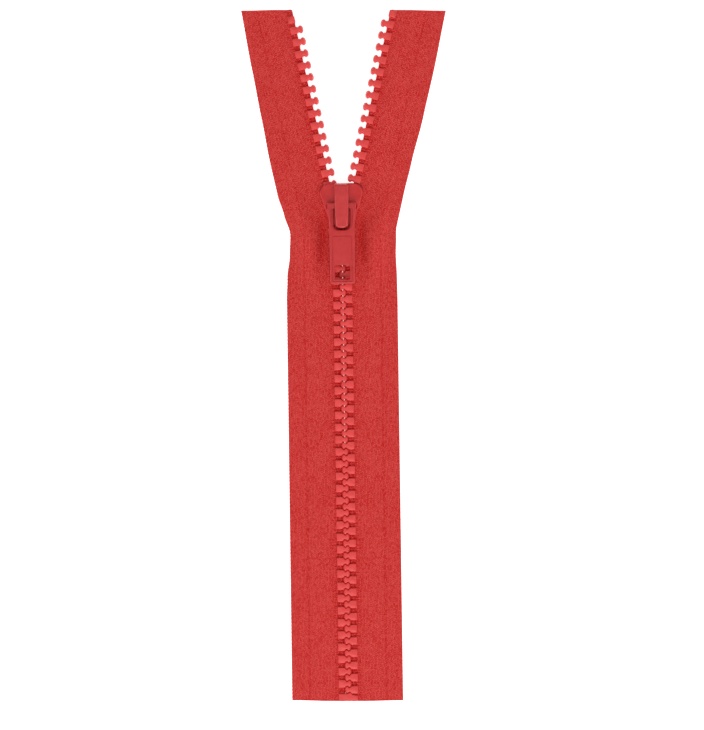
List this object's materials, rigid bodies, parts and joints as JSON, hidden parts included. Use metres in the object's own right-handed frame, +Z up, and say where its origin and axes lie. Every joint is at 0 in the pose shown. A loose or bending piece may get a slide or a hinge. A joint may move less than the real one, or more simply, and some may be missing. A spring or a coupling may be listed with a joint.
{
  "type": "zipper",
  "caption": "Moulded-tooth zipper on woven tapes, closed up to its locking slider and open above it, with a flat pull tab that has a window and a square eye.",
  "frame": {"origin": "on the table under the middle of the closed chain, half way between the cut ends of the tapes", "axes": "+Y along the chain towards the open end, +Z up from the table with the pull tab's side upwards, +X to the right"},
  "size_m": [0.0593, 0.2004, 0.0082],
  "materials": {
    "woven_tape": "matte twill weave, red",
    "filler_cord": "matte twisted yarn, red",
    "moulded_teeth": "satin moulded acetal, red",
    "moulded_stop": "satin moulded acetal, red",
    "slider_enamel": "satin red enamel on die-cast zinc",
    "cap_enamel": "satin red enamel on pressed metal",
    "tab_enamel": "satin red enamel on die-cast zinc",
    "spring_steel": "bare spring steel"
  },
  "bodies": {
    "bottom_end": {"bottom_stop": "moulded_stop"},
    "left_stringer": {"left_edge_core_lower": "filler_cord", "left_tape_lower": "woven_tape", "left_teeth_lower_1": "moulded_teeth", "left_teeth_lower_2": "moulded_teeth", "left_teeth_lower_3": "moulded_teeth", "left_teeth_lower_4": "moulded_teeth"},
    "left_arm": {"left_edge_core_upper": "filler_cord", "left_tape_upper": "woven_tape", "left_teeth_fork": "moulded_teeth", "left_teeth_upper_1": "moulded_teeth", "left_teeth_upper_2": "moulded_teeth", "left_top_stop": "moulded_stop"},
    "right_stringer": {"right_edge_core_lower": "filler_cord", "right_tape_lower": "woven_tape", "right_teeth_lower_1": "moulded_teeth", "right_teeth_lower_2": "moulded_teeth", "right_teeth_lower_3": "moulded_teeth", "right_teeth_lower_4": "moulded_teeth"},
    "right_arm": {"right_edge_core_upper": "filler_cord", "right_tape_upper": "woven_tape", "right_teeth_fork": "moulded_teeth", "right_teeth_upper_1": "moulded_teeth", "right_teeth_upper_2": "moulded_teeth", "right_top_stop": "moulded_stop"},
    "slider": {"slider_body": "slider_enamel", "slider_cap": "cap_enamel"},
    "pull_tab": {"pull_tab": "tab_enamel"},
    "locking_pawl": {"locking_pawl": "spring_steel"}
  },
  "joints": [
    {"name": "slider_slide", "type": "slide", "parent": "bottom_end", "child": "slider", "axis": [0, 1, 0], "range_m": [-0.135, 0], "deforming": ["left_edge_core_lower", "left_edge_core_upper", "left_tape_lower", "left_tape_upper", "left_teeth_fork", "left_teeth_lower_1", "left_teeth_lower_2", "left_teeth_lower_3", "left_teeth_lower_4", "right_edge_core_lower", "right_edge_core_upper", "right_tape_lower", "right_tape_upper", "right_teeth_fork", "right_teeth_lower_1", "right_teeth_lower_2", "right_teeth_lower_3", "right_teeth_lower_4"]},
    {"name": "left_stringer_spread", "type": "hinge", "parent": "bottom_end", "child": "left_stringer", "pos_m": [0, -0.09935, 0.0023], "axis": [0, 0, 1], "range_deg": [0, 10]},
    {"name": "right_stringer_spread", "type": "hinge", "parent": "bottom_end", "child": "right_stringer", "pos_m": [0, -0.09935, 0.0023], "axis": [0, 0, -1], "range_deg": [0, 10]},
    {"name": "left_arm_straighten", "type": "hinge", "parent": "left_stringer", "child": "left_arm", "pos_m": [0, 0.0382, 0.0023], "axis": [0, 0, -1], "range_deg": [0, 11.6]},
    {"name": "right_arm_straighten", "type": "hinge", "parent": "right_stringer", "child": "right_arm", "pos_m": [0, 0.0382, 0.0023], "axis": [0, 0, 1], "range_deg": [0, 12.9]},
    {"name": "pull_tab_swing", "type": "hinge", "parent": "slider", "child": "pull_tab", "pos_m": [0, 0.0436, 0.00535], "axis": [-1, 0, 0], "range_deg": [0, 175]},
    {"name": "pawl_lift", "type": "hinge", "parent": "slider", "child": "locking_pawl", "pos_m": [0, 0.0469, 0.00465], "axis": [-1, 0, 0], "range_deg": [0, 6], "stiffness_Nm_per_rad": 0.05}
  ],
  "couplings": [
    {"joint": "left_stringer_spread", "follows": "slider_slide", "rad_per_m": -1.2799},
    {"joint": "right_stringer_spread", "follows": "slider_slide", "rad_per_m": -1.2799},
    {"joint": "left_arm_straighten", "follows": "slider_slide", "rad_per_m": -1.4829},
    {"joint": "right_arm_straighten", "follows": "slider_slide", "rad_per_m": -1.6497}
  ]
}
